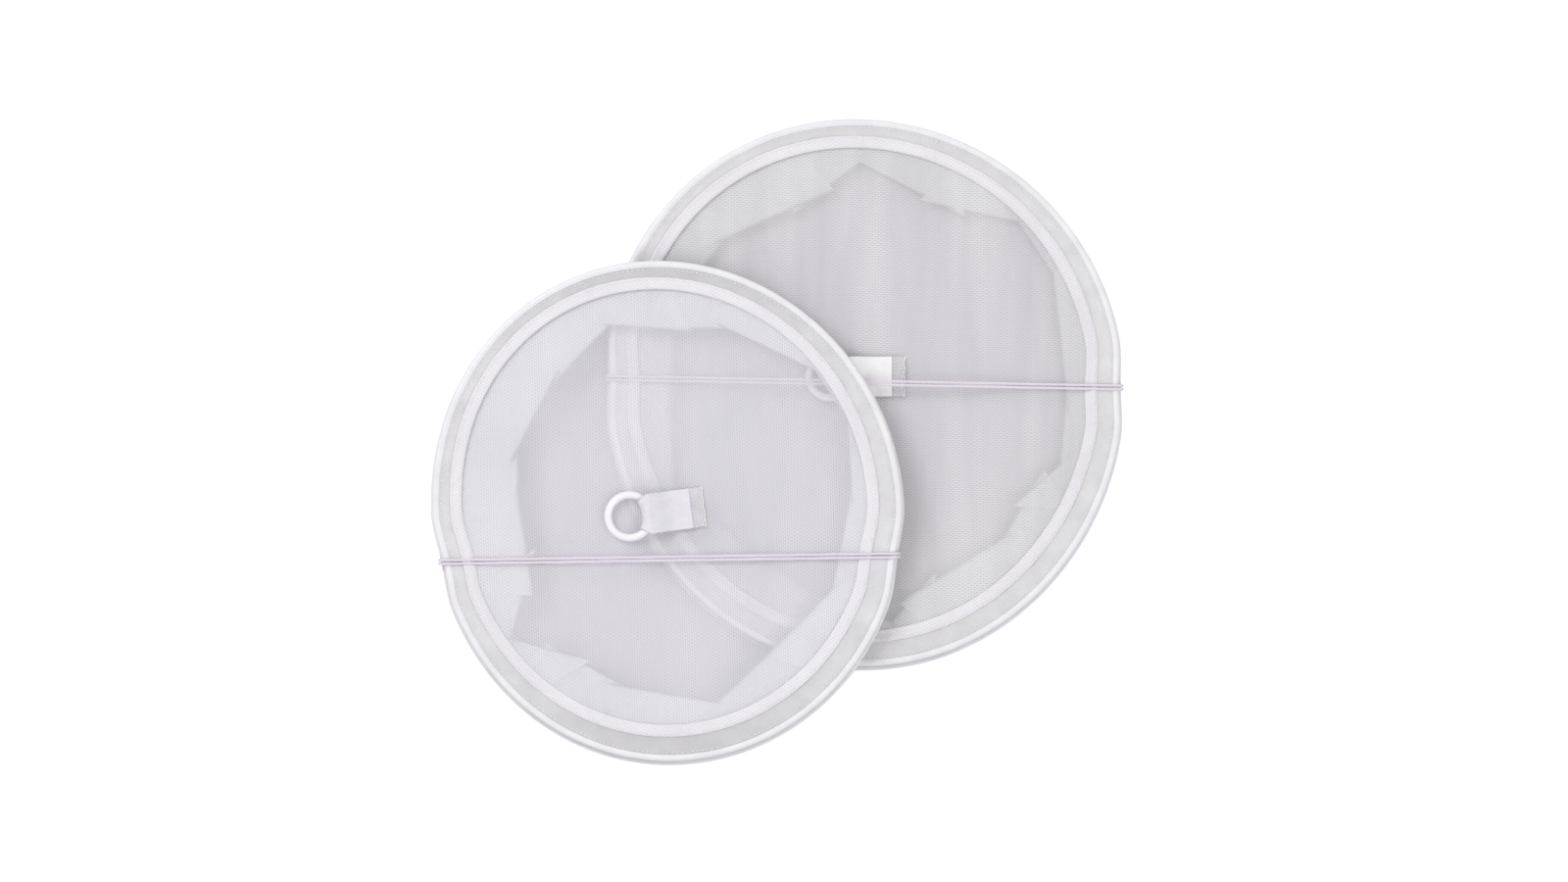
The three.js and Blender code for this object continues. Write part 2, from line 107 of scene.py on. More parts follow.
# Sizes of the pull tab.
RIBBON_WIDTH = 0.0254
RIBBON_THICKNESS = 0.001
RIBBON_LENGTH = 0.0392
FOOT_LENGTH = 0.0075
RING_RADIUS = 0.0135
RING_SECTION = 0.0025
LOOP_WALL = 0.0005
LOOP_HEIGHT = 0.0074
LOOP_WIDTH = 0.0082
LOOP_REACH = 0.001
RING_LEVEL = LOOP_WALL + CLEARANCE + RING_SECTION

HOOP_STEPS = 360
NET_PERIOD = 0.0014
HOLE_PERIOD = 0.0019

# The two covers. Directions are in degrees from +X. The oval and the wave shape the rim. The fold
# directions and shares of the radius place the corners of the folded wall. The strip is the bare tape
# between the bead and the mesh top's hem; it gets a painted shade towards the cover's top and bottom.
LARGE = SimpleNamespace(
    name="large",
    centre=LARGE_CENTRE,
    z=0.0,
    radius=0.170,
    oval=0.005,
    oval_turn=math.radians(100),
    wave=0.0015,
    wave_turn=math.radians(20),
    sag=0.0096,
    band_right_y=0.0037,
    band_left_y=0.0099,
    tab_middle=(0.0025, 0.0105),
    tab_turn=math.radians(180),
    fold_directions=[91, 105, 132, 155, 180, 205, 230, 255, 277, 286, 314, 330, 340, 360, 392, 408, 427],
    fold_shares=[0.86, 0.74, 0.77, 0.77, 0.72, 0.78, 0.72, 0.76, 0.86, 0.76, 0.75, 0.72, 0.78, 0.755, 0.835,
                 0.86, 0.755],
    strip_shift=0.0025,
    strip_turn=math.radians(-60),
    strip_painted_shade_lightness=0.7,
    seed=3,
)
SMALL = SimpleNamespace(
    name="small",
    centre=(LARGE_CENTRE[0] + SMALL_OFFSET[0], LARGE_CENTRE[1] + SMALL_OFFSET[1]),
    z=FOLDED_HEIGHT + CLEARANCE,
    radius=0.1545,
    oval=0.0052,
    oval_turn=math.radians(102),
    wave=0.0008,
    wave_turn=math.radians(9),
    sag=0.003,
    band_right_y=-0.0278,
    band_left_y=-0.0328,
    tab_middle=(0.0, 0.0009),
    tab_turn=math.radians(187.5),
    fold_directions=[107, 134, 157, 179, 203, 219, 235, 257, 285, 313, 335, 367, 387, 404, 432, 450],
    fold_shares=[0.8, 0.69, 0.655, 0.59, 0.6, 0.82, 0.7, 0.725, 0.8, 0.7, 0.745, 0.76, 0.83, 0.84, 0.79,
                 0.745],
    strip_shift=0.003,
    strip_turn=math.radians(-55),
    strip_painted_shade_lightness=0.35,
    seed=8,
)


def nearness(angle, centre, half_width):
    """1 at the centre, falling smoothly to 0 at the half width."""
    away = np.abs(np.arctan2(np.sin(angle - centre), np.cos(angle - centre)))
    return np.where(away < half_width, (1 + np.cos(np.pi * np.minimum(away / half_width, 1))) / 2, 0)


def smooth(low, high, value):
    """0 below low, 1 above high, and a smooth step between them."""
    share = np.clip((value - low) / (high - low), 0, 1)
    return share * share * (3 - 2 * share)


def unit(vector):
    return vector / np.linalg.norm(vector)


class Hoop:
    """One hoop's centre line. Its lift says which way the band's pinch moves it."""

    def __init__(self, cover, up, lift, inset, shift_y):
        self.cover, self.z, self.lift = cover, cover.z + up, lift
        self.radius = cover.radius - BEAD_RADIUS - inset
        self.centre = np.add(cover.centre, (0, shift_y))
        right = math.asin((cover.band_right_y - shift_y) / self.radius)
        left = math.pi - math.asin((cover.band_left_y - shift_y) / self.radius)
        self.pinches = (right, left)

    def pinch_at(self, angle):
        half = PINCH_HALF_WIDTH / self.radius
        return sum(nearness(angle, pinch, half) for pinch in self.pinches)

    def radius_at(self, angle):
        cover = self.cover
        oval = cover.oval * np.cos(2 * (angle - cover.oval_turn))
        wave = cover.wave * np.cos(3 * (angle - cover.wave_turn))
        return self.radius + oval + wave - PINCH_DEPTH * self.pinch_at(angle)

    def beside(self, angle, inward, up):
        """Points beside the centre line: inward by inward, up by up, following the pinch."""
        radius = self.radius_at(angle) - inward
        share = 1 - np.clip(inward / PINCH_REACH, 0, 1)
        x = self.centre[0] + radius * np.cos(angle)
        y = self.centre[1] + radius * np.sin(angle)
        z = self.z + up + self.lift * PINCH_LIFT * self.pinch_at(angle) * share
        return np.stack(np.broadcast_arrays(x, y, z), axis=-1)


def base_hoop(cover):
    return Hoop(cover, BEAD_HEIGHT, 1, 0.0, 0.0)


def top_hoop(cover):
    return Hoop(cover, FOLDED_HEIGHT - BEAD_HEIGHT, -1, TOP_INSET, TOP_SHIFT_Y)


def round_angles(steps=HOOP_STEPS):
    return np.arange(steps) * TURN / steps


def grid_faces(rows, columns, close_rows, close_columns):
    """Quads of a grid of points, row by row."""
    faces = []
    for i in range(rows if close_rows else rows - 1):
        for j in range(columns if close_columns else columns - 1):
            k, m = (i + 1) % rows, (j + 1) % columns
            faces.append((i * columns + j, i * columns + m, k * columns + m, k * columns + j))
    return faces


def capped_faces(rows, columns):
    """Quads round a tube of points, and a cap at each end."""
    caps = [tuple(range(columns)), tuple((rows - 1) * columns + j for j in range(columns))]
    return grid_faces(rows, columns, False, True) + caps


def make_object(name, points, faces, materials):
    """A smooth mesh from points, faces and one or several materials."""
    mesh = bpy.data.meshes.new(name)
    mesh.from_pydata([tuple(p) for p in np.asarray(points).reshape(-1, 3)], [], faces)
    for material in materials if isinstance(materials, list) else [materials]:
        mesh.materials.append(material)
    mesh.polygons.foreach_set("use_smooth", [True] * len(mesh.polygons))
    mesh.update()
    obj = bpy.data.objects.new(name, mesh)
    bpy.context.scene.collection.objects.link(obj)
    return obj


def face_outward(obj):
    """Turns a closed mesh's faces so that they point out."""
    work = bmesh.new()
    work.from_mesh(obj.data)
    bmesh.ops.recalc_face_normals(work, faces=work.faces)
    work.to_mesh(obj.data)
    work.free()
    return obj


def closed_sweep(name, grid, material, caps=False):
    """A closed skin over rings of points: a tube with two caps, or one that closes on itself."""
    rows, columns = grid.shape[:2]
    faces = capped_faces(rows, columns) if caps else grid_faces(rows, columns, True, True)
    return face_outward(make_object(name, grid, faces, material))


# Materials. Each is a short node tree on object coordinates, so that its scale is real.


def tree_of(name, colour, roughness, sheen=0.0):
    """A material with its Principled shader, its node tree and object coordinates split into X, Y and Z."""
    material = bpy.data.materials.new(name)
    material.use_nodes = True
    nodes, links = material.node_tree.nodes, material.node_tree.links
    shader = nodes["Principled BSDF"]
    shader.inputs["Base Color"].default_value = (*colour, 1)
    shader.inputs["Roughness"].default_value = roughness
    shader.inputs["Sheen Weight"].default_value = sheen
    place = nodes.new("ShaderNodeTexCoord").outputs["Object"]
    split = nodes.new("ShaderNodeSeparateXYZ")
    links.new(place, split.inputs[0])
    return SimpleNamespace(material=material, nodes=nodes, links=links, shader=shader, place=place,
                           split=split)


def math_node(tree, operation, first, second=None, clamp=False):
    """One Math node; each input is a number or another node's output."""
    node = tree.nodes.new("ShaderNodeMath")
    node.operation, node.use_clamp = operation, clamp
    for socket, value in zip(node.inputs, (first, second)):
        if value is None:
            continue
        if isinstance(value, (int, float)):
            socket.default_value = value
        else:
            tree.links.new(value, socket)
    return node.outputs[0]


def ribs(tree, x_share, y_share, period, z_share=0.0):
    """Soft stripes from 0 to 1, crossing the direction given by the shares."""
    along = math_node(tree, "MULTIPLY", tree.split.outputs["X"], x_share * TURN / period)
    side = math_node(tree, "MULTIPLY", tree.split.outputs["Y"], y_share * TURN / period)
    total = math_node(tree, "ADD", along, side)
    if z_share:
        rise = math_node(tree, "MULTIPLY", tree.split.outputs["Z"], z_share * TURN / period)
        total = math_node(tree, "ADD", total, rise)
    wave = math_node(tree, "SINE", total)
    return math_node(tree, "ADD", math_node(tree, "MULTIPLY", wave, 0.5), 0.5)


def noise(tree, scale, detail=2.0, stretch=(1, 1, 1)):
    """Smooth noise, with its size in cycles a metre."""
    mapping = tree.nodes.new("ShaderNodeMapping")
    mapping.inputs["Scale"].default_value = stretch
    tree.links.new(tree.place, mapping.inputs["Vector"])
    node = tree.nodes.new("ShaderNodeTexNoise")
    node.inputs["Scale"].default_value = scale
    node.inputs["Detail"].default_value = detail
    tree.links.new(mapping.outputs[0], node.inputs["Vector"])
    return node.outputs["Fac"]


def ramp(tree, value, low, high):
    """A value from 0 to 1 spread from low to high."""
    node = tree.nodes.new("ShaderNodeMapRange")
    node.inputs["To Min"].default_value = low
    node.inputs["To Max"].default_value = high
    tree.links.new(value, node.inputs["Value"])
    return node.outputs[0]


def two_colours(tree, value, first, second):
    """A colour between two, by a value, on the shader."""
    node = tree.nodes.new("ShaderNodeMix")
    node.data_type = "RGBA"
    node.inputs["A"].default_value = (*first, 1)
    node.inputs["B"].default_value = (*second, 1)
    tree.links.new(value, node.inputs["Factor"])
    tree.links.new(node.outputs["Result"], tree.shader.inputs["Base Color"])


def bump(tree, height, distance, strength=0.6):
    """Bump of a real depth from a height of 0 to 1."""
    node = tree.nodes.new("ShaderNodeBump")
    node.inputs["Distance"].default_value = distance
    node.inputs["Strength"].default_value = strength
    tree.links.new(height, node.inputs["Height"])
    tree.links.new(node.outputs[0], tree.shader.inputs["Normal"])


RIB_SHARE = 0.34
LINK_SHARE = 0.35
LEAST_WEAVE_SHARE = 0.14
LINK_SLANT = (0.5, 0.87)
NET_BAND_SCALE = 26.0
NET_BUMP = 0.0002


def net_material(name, dark, light, opacity, rib, bands=(1, 1, 1), depth=0.35):
    """Fine netting: ribs and slanted links between them, see-through in the holes, softly banded. The bands
    are painted light and shade of the puckers in the colour, and denser mesh in the opacity.
    """
    tree = tree_of(name, light, 0.75, sheen=0.15)
    rib_lines = ribs(tree, *rib, NET_PERIOD)
    across, along = LINK_SLANT
    links = math_node(tree, "MAXIMUM", ribs(tree, across, along, HOLE_PERIOD),
                      ribs(tree, across, -along, HOLE_PERIOD))
    weave = math_node(tree, "ADD", math_node(tree, "MULTIPLY", links, LINK_SHARE), LEAST_WEAVE_SHARE)
    total = math_node(tree, "ADD", math_node(tree, "MULTIPLY", rib_lines, RIB_SHARE), weave)
    # Soft bands: painted light and shade of the puckers, and denser mesh where it gathers.
    soft = noise(tree, NET_BAND_SCALE, 3.0, bands)
    shade = math_node(tree, "MULTIPLY", total, ramp(tree, soft, 1 - 2 * depth, 1 + 2 * depth))
    two_colours(tree, ramp(tree, shade, 0, 1), dark, light)
    tree.links.new(ramp(tree, shade, *opacity), tree.shader.inputs["Alpha"])
    bump(tree, total, NET_BUMP, 0.3)
    return tree.material


TAPE_CLOUD_SCALE = 70.0
TAPE_ALPHA_SPREAD = 0.06
TAPE_BUMP = 0.00012
STRIP_WEAVE = 0.0011
STRIP_ALPHA = 0.66
STRIP_CLOUD_RANGE = (0.45, 1.15)
STRIP_SHADE_POWER = 4.0


def tape_material(name, colour, shade, alpha, weave, cloud_range=(-0.3, 1.4), cover=None):
    """Woven nylon tape with cloudy colour. Round a cover it darkens at the top and bottom, a painted shade.
    """
    tree = tree_of(name, colour, 0.45, sheen=0.25)
    threads = math_node(tree, "MULTIPLY", ribs(tree, 0.7, 0.7, weave, 0.3),
                        ribs(tree, 0.7, -0.7, weave, 0.3))
    clouds = noise(tree, TAPE_CLOUD_SCALE, 3.0)
    value = ramp(tree, clouds, *cloud_range)
    # Painted shade: the tape darkens with its distance in Y from the cover's middle.
    if cover:
        offset = math_node(tree, "SUBTRACT", tree.split.outputs["Y"], cover.centre[1])
        reach = math_node(tree, "DIVIDE", math_node(tree, "ABSOLUTE", offset), cover.radius)
        share = math_node(tree, "POWER", reach, STRIP_SHADE_POWER, clamp=True)
        value = math_node(tree, "MULTIPLY", value, ramp(tree, share, 1.0, cover.strip_painted_shade_lightness))
    two_colours(tree, value, shade, colour)
    if alpha < 1:
        see_through = ramp(tree, clouds, alpha - TAPE_ALPHA_SPREAD, alpha + TAPE_ALPHA_SPREAD)
        tree.links.new(see_through, tree.shader.inputs["Alpha"])
    bump(tree, threads, TAPE_BUMP, 0.5)
    return tree.material


def strip_material(cover, colour, shade):
    """The see-through tape that shows inside a cover's rim, with painted shade towards its top and bottom.
    """
    return tape_material(f"{cover.name}_strip_tape", colour, shade, STRIP_ALPHA, STRIP_WEAVE,
                         STRIP_CLOUD_RANGE, cover)


RIBBON_CROSS_THREAD = 0.0007
RIBBON_LONG_THREAD = 0.0009
RIBBON_CLOUD_SCALE = 180.0
RIBBON_BUMP = 0.0004


def ribbon_material(name, colour, shade, alpha):
    """Thin ribbon: cross ribs, cloudy creases and a satin sheen."""
    tree = tree_of(name, colour, 0.5, sheen=0.3)
    threads = math_node(tree, "MULTIPLY", ribs(tree, 1.0, 0.13, RIBBON_CROSS_THREAD),
                        ribs(tree, -0.13, 1.0, RIBBON_LONG_THREAD))
    clouds = noise(tree, RIBBON_CLOUD_SCALE, 3.0)
    two_colours(tree, ramp(tree, clouds, -0.2, 1.2), shade, colour)
    tree.shader.inputs["Alpha"].default_value = alpha
    height = math_node(tree, "ADD", math_node(tree, "MULTIPLY", threads, 0.4), clouds)
    bump(tree, height, RIBBON_BUMP, 0.5)
    return tree.material


FLOW_SCALE, GRAIN_SCALE, GRAIN_BUMP = 60.0, 400.0, 0.00004
ELASTIC_THREAD, ELASTIC_BUMP = 0.0008, 0.0001
DRAWN_SCALE, DRAWN_BUMP = 900.0, 0.00003
THREAD_TWIST, THREAD_BUMP = 0.0004, 0.00006


def plastic_material(name, colour, shade):
    """Moulded plastic: a smooth gloss with faint flow marks."""
    tree = tree_of(name, colour, 0.22)
    flow = noise(tree, FLOW_SCALE)
    two_colours(tree, flow, shade, colour)
    tree.links.new(ramp(tree, flow, 0.16, 0.3), tree.shader.inputs["Roughness"])
    tree.shader.inputs["Coat Weight"].default_value = 0.3
    bump(tree, noise(tree, GRAIN_SCALE), GRAIN_BUMP, 0.3)
    return tree.material


def elastic_material(name, colour, shade):
    """Covered elastic: pale mauve threads lengthwise, with painted shade in the grooves between them."""
    tree = tree_of(name, colour, 0.6, sheen=0.2)
    threads = ribs(tree, 0.02, 1.0, ELASTIC_THREAD)
    # Painted shade: the grooves between the threads are darker.
    two_colours(tree, threads, shade, colour)
    bump(tree, threads, ELASTIC_BUMP, 0.5)
    return tree.material


def steel_material(name):
    """Drawn spring steel with fine marks along it."""
    tree = tree_of(name, (0.6, 0.61, 0.63), 0.35)
    tree.shader.inputs["Metallic"].default_value = 1.0
    marks = noise(tree, DRAWN_SCALE)
    tree.links.new(ramp(tree, marks, 0.25, 0.45), tree.shader.inputs["Roughness"])
    bump(tree, marks, DRAWN_BUMP, 0.3)
    return tree.material


def thread_material(name, colour, shade):
    """Twisted sewing thread, with painted shade in the grooves of its twist."""
    tree = tree_of(name, colour, 0.6)
    twist = ribs(tree, 0.7, 0.7, THREAD_TWIST, 0.5)
    # Painted shade: the grooves of the twist are darker.
    two_colours(tree, twist, shade, colour)
    bump(tree, twist, THREAD_BUMP, 0.5)
    return tree.material


def make_materials():
    """All the finishes, by name."""
    return SimpleNamespace(
        small_net=net_material("small_netting", (0.82, 0.80, 0.87), (0.96, 0.94, 0.99),
                               opacity=(0.34, 0.54), rib=(1.0, 0.04), bands=(1, 0.4, 1), depth=0.3),
        large_net=net_material("large_netting", (0.68, 0.67, 0.70), (0.90, 0.89, 0.92),
                               opacity=(0.36, 0.60), rib=(0.04, 1.0), bands=(1, 0.12, 1), depth=0.7),
        wall=net_material("wall_netting", (0.77, 0.76, 0.81), (0.87, 0.86, 0.90),
                          opacity=(0.56, 0.76), rib=(0.6, 0.8)),
        drum=net_material("drum_netting", (0.72, 0.70, 0.76), (0.88, 0.86, 0.91),
                          opacity=(0.36, 0.56), rib=(0.6, 0.8)),
        hem=net_material("hem_netting", (0.84, 0.82, 0.87), (0.93, 0.92, 0.96),
                         opacity=(0.60, 0.80), rib=(0.9, 0.3)),
        bead=tape_material("bead_tape", (0.82, 0.81, 0.83), (0.72, 0.71, 0.74), 1.0, 0.0009),
        # The strips' darker colours give both their cloudy tone and their painted shade at the cover's top
        # and bottom.
        small_strip=strip_material(SMALL, (0.85, 0.84, 0.87), (0.52, 0.51, 0.55)),
        large_strip=strip_material(LARGE, (0.84, 0.83, 0.85), (0.58, 0.57, 0.60)),
        # The ribbon cloth in two copies: the large cover's is painted lighter, a painted light against the
        # shadow that the small cover casts on its tab.
        small_ribbon=ribbon_material("small_ribbon_cloth", (0.81, 0.79, 0.84), (0.69, 0.67, 0.73), 0.95),
        large_ribbon=ribbon_material("large_ribbon_cloth", (0.95, 0.94, 0.96), (0.85, 0.84, 0.87), 0.95),
        foot=ribbon_material("single_ribbon_cloth", (0.82, 0.80, 0.85), (0.68, 0.66, 0.72), 0.6),
        ring=plastic_material("ring_plastic_gloss", (0.88, 0.87, 0.90), (0.82, 0.81, 0.85)),
        elastic=elastic_material("elastic_threads", (0.80, 0.74, 0.82), (0.62, 0.55, 0.65)),
        steel=steel_material("spring_steel"),
        thread=thread_material("sewing_thread", (0.88, 0.86, 0.88), (0.70, 0.68, 0.71)),
        raw_thread=thread_material("raw_edge_thread", (0.93, 0.91, 0.88), (0.80, 0.77, 0.70)),
    )


# The camera, floor and lights.

PHOTO_WIDTH = 1600
PIXEL = 0.00062
FRAME_CENTRE = (0.0039, 0.00065)
CAMERA_HEIGHT = 3.4
SENSOR = 36.0
FLOOR_HALF_SIZE = 4.0
FLOOR_DEPTH = 0.0002
FLOOR_COLOUR = (0.6, 0.58, 0.63)
FLOOR_GLOW = 1.2
FLOOR_GLOW_LIMIT = 0.63
FLOOR_OPENNESS_REACH = 0.16


def make_camera():
    """Straight above the set, as the photograph is taken, through a long lens."""
    data = bpy.data.cameras.new("camera")
    data.sensor_width = SENSOR
    data.lens = SENSOR * CAMERA_HEIGHT / (PHOTO_WIDTH * PIXEL)
    data.clip_end = 20
    camera = bpy.data.objects.new("camera", data)
    camera.location = (*FRAME_CENTRE, CAMERA_HEIGHT + FOLDED_HEIGHT)
    bpy.context.scene.collection.objects.link(camera)
    bpy.context.scene.camera = camera


def make_floor():
    """A grey floor that glows white in the open. Ambient occlusion cuts the glow, a painted shade that keeps
    the floor grey under the covers.
    """
    size = FLOOR_HALF_SIZE
    corners = [(-size, -size, 0), (size, -size, 0), (size, size, 0), (-size, size, 0)]
    tree = tree_of("floor", FLOOR_COLOUR, 0.9)
    tree.shader.inputs["Specular IOR Level"].default_value = 0.0
    path = tree.nodes.new("ShaderNodeLightPath")
    seen = math_node(tree, "MAXIMUM", path.outputs["Is Camera Ray"], path.outputs["Is Glossy Ray"])
    seen = math_node(tree, "MAXIMUM", seen, path.outputs["Is Transmission Ray"])
    # Painted shade: ambient occlusion takes the glow away where the covers are near.
    openness = tree.nodes.new("ShaderNodeAmbientOcclusion")
    openness.inputs["Distance"].default_value = FLOOR_OPENNESS_REACH
    openness.samples = 16
    shown = math_node(tree, "MULTIPLY", seen, openness.outputs["AO"])
    glow = math_node(tree, "MULTIPLY", shown, FLOOR_GLOW)
    tree.shader.inputs["Emission Color"].default_value = (1, 1, 1, 1)
    glow = math_node(tree, "MINIMUM", glow, FLOOR_GLOW_LIMIT)
    tree.links.new(glow, tree.shader.inputs["Emission Strength"])
    floor = make_object("floor", corners, [(0, 1, 2, 3)], tree.material)
    floor.location = (0, 0, -FLOOR_DEPTH)


def make_light(name, place, size, power):
    """A square soft box that faces the middle of the set."""
    data = bpy.data.lights.new(name, "AREA")
    data.shape, data.size, data.energy = "SQUARE", size, power
    light = bpy.data.objects.new(name, data)
    light.location = place
    light.rotation_euler = (-Vector(place)).to_track_quat("-Z", "Y").to_euler()
    bpy.context.scene.collection.objects.link(light)


def make_world(strength):
    """An even white surround."""
    world = bpy.data.worlds.new("surround")
    bpy.context.scene.world = world
    world.use_nodes = True
    tree = SimpleNamespace(nodes=world.node_tree.nodes, links=world.node_tree.links)
    back = tree.nodes["Background"]
    back.inputs["Color"].default_value = (1, 1, 1, 1)
    path = tree.nodes.new("ShaderNodeLightPath")
    tree.links.new(ramp(tree, path.outputs["Is Camera Ray"], strength, 1.0), back.inputs["Strength"])


def make_stage():
    """The camera, the floor, the lights and how the picture is made."""
    make_camera()
    make_floor()
    make_light("key_light", (-1.5, 1.3, 2.0), size=1.2, power=32)
    make_light("fill_light", (1.6, -1.0, 2.2), size=1.8, power=22)
    make_world(strength=0.68)
    scene = bpy.context.scene
    scene.view_settings.view_transform = "Standard"
    scene.cycles.transparent_max_bounces = 40
    scene.cycles.max_bounces = 12


# The hoops' tape.

BEAD_POINTS = 22
TAIL_POINTS = 9
TAPE_WRINKLE = 0.00008
TAPE_WRINKLE_START = 0.002
TAIL_GAP = 0.0004
TAIL_EASE = 0.0008
TAIL_EASE_HEIGHT = 0.00003


def ripple(angle, inward, cover):
    """Small wrinkles of the tape's tail, which die out towards the bead."""
    wave = (np.sin(23 * angle + cover.seed) + 0.7 * np.sin(41 * angle + 2 * cover.seed)
            + 0.5 * np.sin(89 * angle))
    return TAPE_WRINKLE * wave * smooth(TAPE_WRINKLE_START, TAIL_LENGTH, inward)


def open_arc(slot, wide, high):
    """An oval's points with a slot left open on its inner side."""
    root = math.asin(slot / high)
    turns = np.linspace(root, TURN - root, BEAD_POINTS)
    return np.stack([wide * np.cos(turns), high * np.sin(turns)], axis=-1)


def sleeve_profile(slot):
    """The tape's section as inward and up distances, round its bead, its tail and its bore."""
    tail = slot + TAPE_THICKNESS
    bead = open_arc(tail, BEAD_RADIUS, BEAD_HEIGHT)
    bore = open_arc(slot, SLEEVE_BORE, SLEEVE_BORE)
    reach = np.linspace(bead[0][0] + TAIL_GAP, TAIL_LENGTH, TAIL_POINTS)
    level = np.interp(reach, [reach[0], reach[0] + TAIL_EASE], [tail + TAIL_EASE_HEIGHT, tail])
    lower, upper = (np.stack([reach, side * level], axis=-1) for side in (-1, 1))
    lower_slot, upper_slot = [[TAIL_LENGTH, -slot]], [[TAIL_LENGTH, slot]]
    return np.concatenate([bead, lower, lower_slot, bore[::-1], upper_slot, upper[::-1]])


def make_sleeve(cover, line, slot, label, body, finishes):
    """Tape folded over a hoop's wire: an opaque bead and a thinner see-through tail."""
    profile = sleeve_profile(slot)
    angles = round_angles()
    rings = [line.beside(angles, inward, up + ripple(angles, inward, cover)) for inward, up in profile]
    grid = np.stack(rings, axis=1)
    materials = [finishes.bead, getattr(finishes, f"{cover.name}_strip")]
    obj = closed_sweep(f"{cover.name}_{label}_tape", grid, materials)
    kinds = [int(min(reach, following) > BEAD_RADIUS - TAIL_GAP)
             for reach, following in zip(profile[:, 0], np.roll(profile[:, 0], -1))]
    obj.data.polygons.foreach_set("material_index", kinds * len(angles))
    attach(obj, body)
    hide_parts(f"{cover.name}_{label}_sleeve")


# Stitches. Each is a spindle, given as shares of its length and of its radius.

STITCH_SHAPE = ((-0.5, 0.05), (-0.42, 0.7), (-0.2, 1.0), (0.2, 1.0), (0.42, 0.7), (0.5, 0.05))
STITCH_SIDES = 6
STITCH_RADIUS = 0.00028
STITCH_PITCH = 0.0031
STITCH_LENGTH = 0.72 * STITCH_PITCH
BEAD_SEAM = BEAD_RADIUS + 0.0011
HEM_SEAM = 0.0016
SEAM_LIFT = 0.00004


def make_stitches(name, points, directions, length, radius, material, body):
    """A row of stitches, each a small spindle lying along its direction, as one mesh."""
    turns = round_angles(STITCH_SIDES)
    vertices, faces = [], []
    pattern = capped_faces(len(STITCH_SHAPE), STITCH_SIDES)
    for point, direction in zip(points, directions):
        direction = unit(direction)
        side = unit(np.cross(UPWARD, direction))
        up = np.cross(direction, side)
        first = len(vertices)
        for along, size in STITCH_SHAPE:
            for turn in turns:
                away = radius * size * (math.cos(turn) * side + math.sin(turn) * up)
                vertices.append(point + direction * along * length + away)
        faces.extend(tuple(first + k for k in face) for face in pattern)
    obj = face_outward(make_object(name, vertices, faces, material))
    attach(obj, body)


def seam_angles(line):
    """Where the stitches of a seam round a hoop lie."""
    return round_angles(int(TURN * line.radius / STITCH_PITCH))


def make_seam(cover, line, label, depth, level, finishes, body):
    """A seam round a hoop, at one depth and level or at those of each stitch."""
    angles = seam_angles(line)
    points = line.beside(angles, depth, level)
    ahead = line.beside(angles + angles[1], depth, level)
    make_stitches(f"{cover.name}_{label}_stitches", points, ahead - points, STITCH_LENGTH, STITCH_RADIUS,
                  finishes.thread, body)


# The mesh top with its doubled hem.

HEM_WIDTH = 0.0078
HEM_THICKNESS = 0.0004
HEM_SEAT = 0.00035
HEM_NET_SEAT = 0.00025
HEM_DROP_START, HEM_DROP_END = TAIL_LENGTH - 0.0005, TAIL_LENGTH + 0.003
HEM_COLUMNS = 9
HEM_EDGE_SHARE = 0.04
HEM_WAVE, HEM_FINE_WAVE = 0.00007, 0.00006
NET_RINGS = 46
NET_RING_POWER = 1.15
NET_CENTRE_REACH = 0.985
NET_SHEET_EDGE = 0.006
PUCKER_HEIGHT = 0.00034
GATHER_HEIGHT = 0.00016
GATHER_START, GATHER_FULL, GATHER_END = 0.010, 0.018, 0.046


def strip_width(cover, angle):
    """How much of the tape's tail shows between the bead and the mesh top's hem."""
    return STRIP_MIDDLE + cover.strip_shift * np.cos(angle - cover.strip_turn)


def sag_at(cover, line, points):
    """How far the mesh top hangs below its hoop."""
    away = np.hypot(*(points[:, :2] - line.centre).T)
    share = np.minimum(1, away / (cover.radius - TAIL_LENGTH))
    return cover.sag * (1 - share ** 2) ** 2


def pucker(cover, line, points):
    """Soft waves of the slack mesh, which die out at the hem."""
    across, along = (points[:, :2] - line.centre).T
    reach = np.hypot(across, along) / cover.radius
    phase = cover.seed
    waves = (
        np.sin(across * 118 + 3 * np.sin(along * 9 + phase) + phase)
        + 0.8 * np.sin(across * 67 - along * 14 + 2 * phase)
        + 0.5 * np.sin(along * 52 + across * 21 + 3 * phase)
        + 0.35 * np.sin(across * 210 + 2 * np.sin(along * 17) + phase)
    )
    return PUCKER_HEIGHT * waves * smooth(0.93, 0.70, reach)


